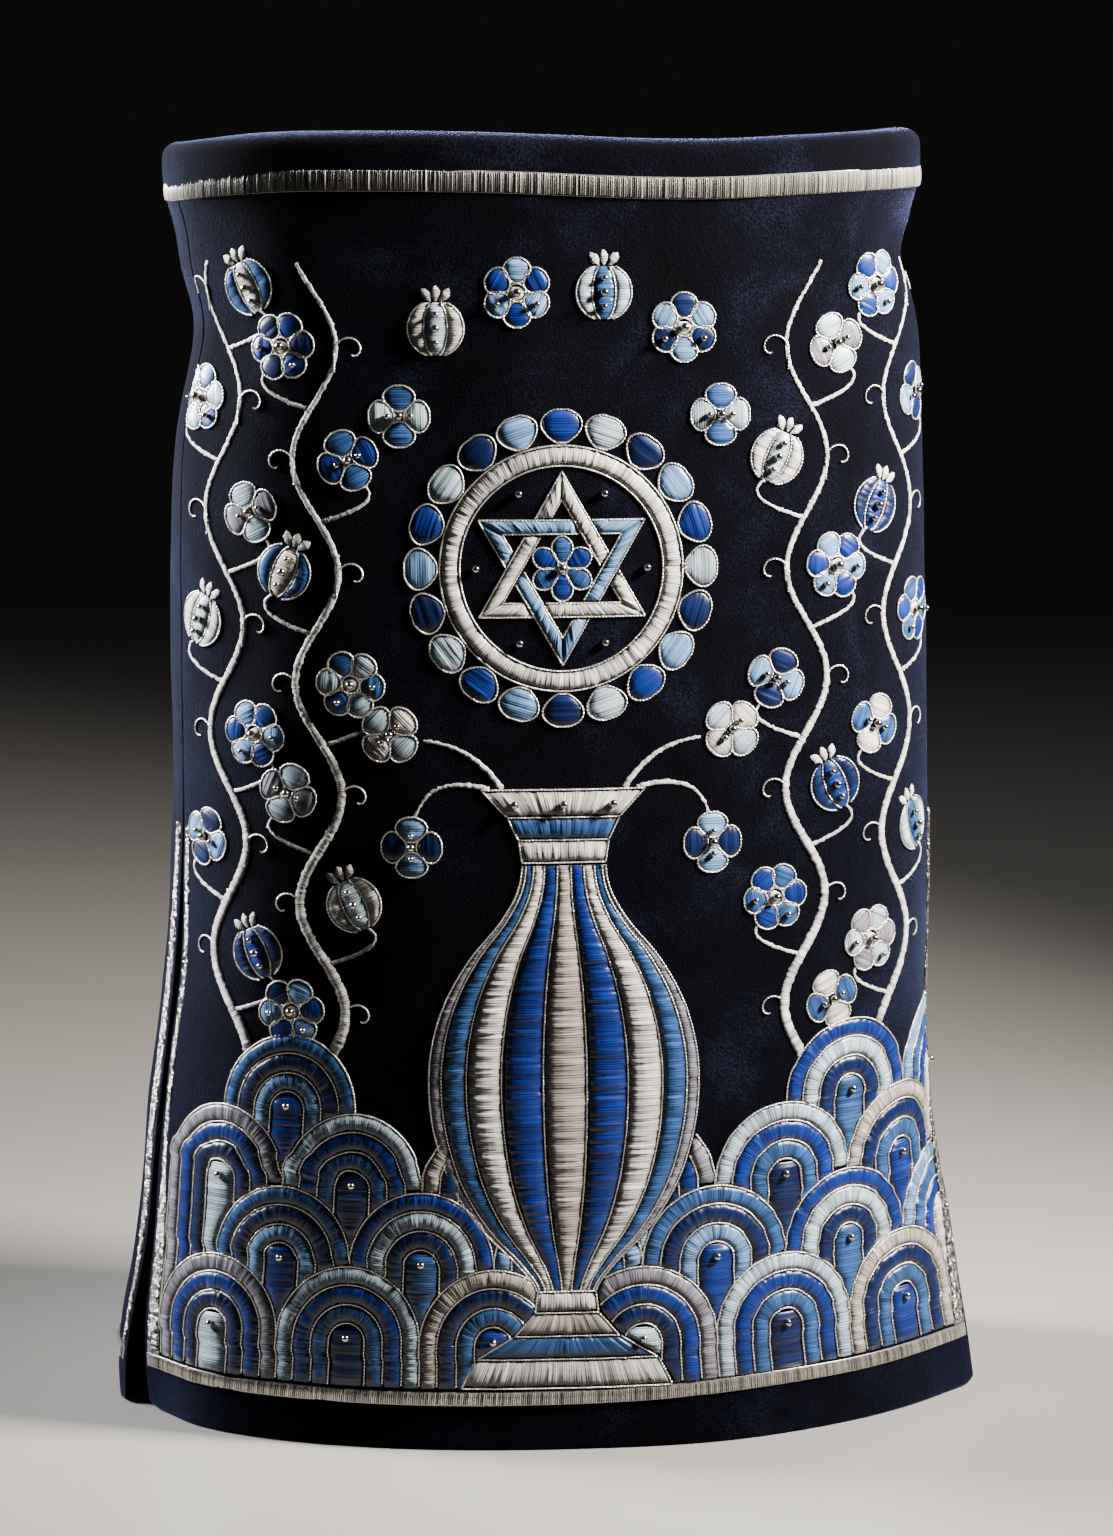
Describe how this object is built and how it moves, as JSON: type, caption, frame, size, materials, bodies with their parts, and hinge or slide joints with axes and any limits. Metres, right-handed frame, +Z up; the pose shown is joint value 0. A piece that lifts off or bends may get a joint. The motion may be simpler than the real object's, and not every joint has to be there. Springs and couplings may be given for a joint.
{
  "type": "torah mantle",
  "caption": "Oval velvet torah mantle standing on its hem, with a rolled heading, stave holes in the top, side slits and silver satin borders.",
  "frame": {"origin": "on the floor under the middle of the mantle, with the hem resting on z = 0", "axes": "+Z up, -Y out of the embroidered front, +X to the right as seen from the front"},
  "size_m": [0.4454, 0.2434, 0.6419],
  "materials": {
    "velvet": "deep navy cotton velvet with a short upright pile",
    "silver_satin": "silver metallic satin stitch, threads lying across each band",
    "embroidery": "padded satin stitch embroidery in blues, greys and silver",
    "silver_cord": "fine twisted silver cord couched round the embroidery",
    "beads": "small round polished metal beads"
  },
  "bodies": {
    "root": {"front_panel": "velvet", "back_panel": "velvet", "heading": "velvet", "top_panel": "velvet", "top_band": "silver_satin", "front_hem_border": "silver_satin", "back_hem_border": "silver_satin", "front_side_border_left": "silver_satin", "front_side_border_right": "silver_satin", "back_side_border_left": "silver_satin", "back_side_border_right": "silver_satin"}
  },
  "joints": []
}
